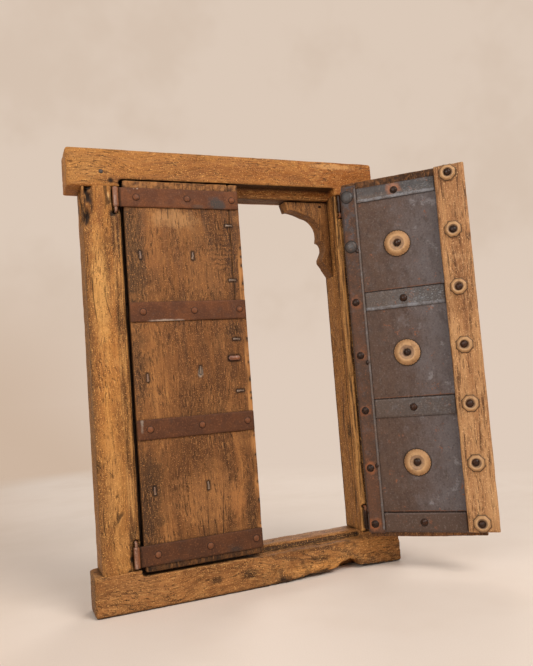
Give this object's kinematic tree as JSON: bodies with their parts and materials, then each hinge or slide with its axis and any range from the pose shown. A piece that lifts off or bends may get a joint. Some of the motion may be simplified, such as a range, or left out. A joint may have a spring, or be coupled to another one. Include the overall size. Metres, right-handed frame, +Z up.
{
  "type": "shuttered wooden window frame",
  "caption": "Old wooden window frame with hinged iron-clad shutters, brass rosettes, a studded meeting batten and cusped arch brackets.",
  "frame": {"origin": "middle of the sill's bottom face", "axes": "+Z up, +X along the sill to the open shutter's side, +Y from the inner side (front) to the outer side (back)"},
  "size_m": [0.5173, 0.1983, 0.6],
  "materials": {
    "frame_wood": "bare worn teak, warm brown, pitted and cracked",
    "leaf_wood": "bare weathered dark brown boards",
    "batten_wood": "bare worn brown wood",
    "strap_iron": "hand-forged iron with reddish brown rust",
    "sheet_iron": "thin dark grey-brown iron sheet with rust specks",
    "outer_strap_iron": "dark grey-brown iron, bare grey at worn edges",
    "nail_iron": "dark forged iron",
    "brass": "aged dull brass"
  },
  "bodies": {
    "frame": {"lintel": "frame_wood", "sill": "frame_wood", "left_stile": "frame_wood", "right_stile": "frame_wood", "left_bracket": "frame_wood", "right_bracket": "frame_wood", "tenon_pegs": "frame_wood", "bracket_nails": "nail_iron", "lintel_nail": "nail_iron", "left_top_hinge_pin": "strap_iron", "left_bottom_hinge_pin": "strap_iron", "right_top_hinge_pin": "strap_iron", "right_bottom_hinge_pin": "strap_iron"},
    "left_leaf": {"left_main_board": "leaf_wood", "left_edge_board": "leaf_wood", "left_top_hinge_strap": "strap_iron", "left_upper_strap": "strap_iron", "left_lower_strap": "strap_iron", "left_bottom_hinge_strap": "strap_iron", "left_strap_rivets": "strap_iron", "left_iron_sheet": "sheet_iron", "left_outer_hinge_strap": "outer_strap_iron", "left_outer_top_strap": "outer_strap_iron", "left_outer_upper_strap": "outer_strap_iron", "left_outer_lower_strap": "outer_strap_iron", "left_outer_bottom_strap": "outer_strap_iron", "left_outer_nails": "nail_iron", "left_studs": "outer_strap_iron", "left_rosettes": "brass", "left_rosette_nails": "nail_iron", "left_clenched_nails": "nail_iron", "left_latch_staple": "nail_iron"},
    "right_leaf": {"right_main_board": "leaf_wood", "right_edge_board": "leaf_wood", "right_top_hinge_strap": "strap_iron", "right_upper_strap": "strap_iron", "right_lower_strap": "strap_iron", "right_bottom_hinge_strap": "strap_iron", "right_strap_rivets": "strap_iron", "right_iron_sheet": "sheet_iron", "right_outer_hinge_strap": "outer_strap_iron", "right_outer_top_strap": "outer_strap_iron", "right_outer_upper_strap": "outer_strap_iron", "right_outer_lower_strap": "outer_strap_iron", "right_outer_bottom_strap": "outer_strap_iron", "right_outer_nails": "nail_iron", "right_studs": "outer_strap_iron", "right_rosettes": "brass", "right_rosette_nails": "nail_iron", "right_clenched_nails": "nail_iron", "right_batten": "batten_wood", "batten_rosettes": "brass", "batten_nails": "nail_iron"}
  },
  "joints": [
    {"name": "left_leaf_hinge", "type": "hinge", "parent": "frame", "child": "left_leaf", "pos_m": [-0.1666, -0.027, 0.3], "axis": [0, 0, -1], "range_deg": [0, 170]},
    {"name": "right_leaf_hinge", "type": "hinge", "parent": "frame", "child": "right_leaf", "pos_m": [0.1666, -0.027, 0.3], "axis": [0, 0, 1], "range_deg": [-122, 32]}
  ]
}
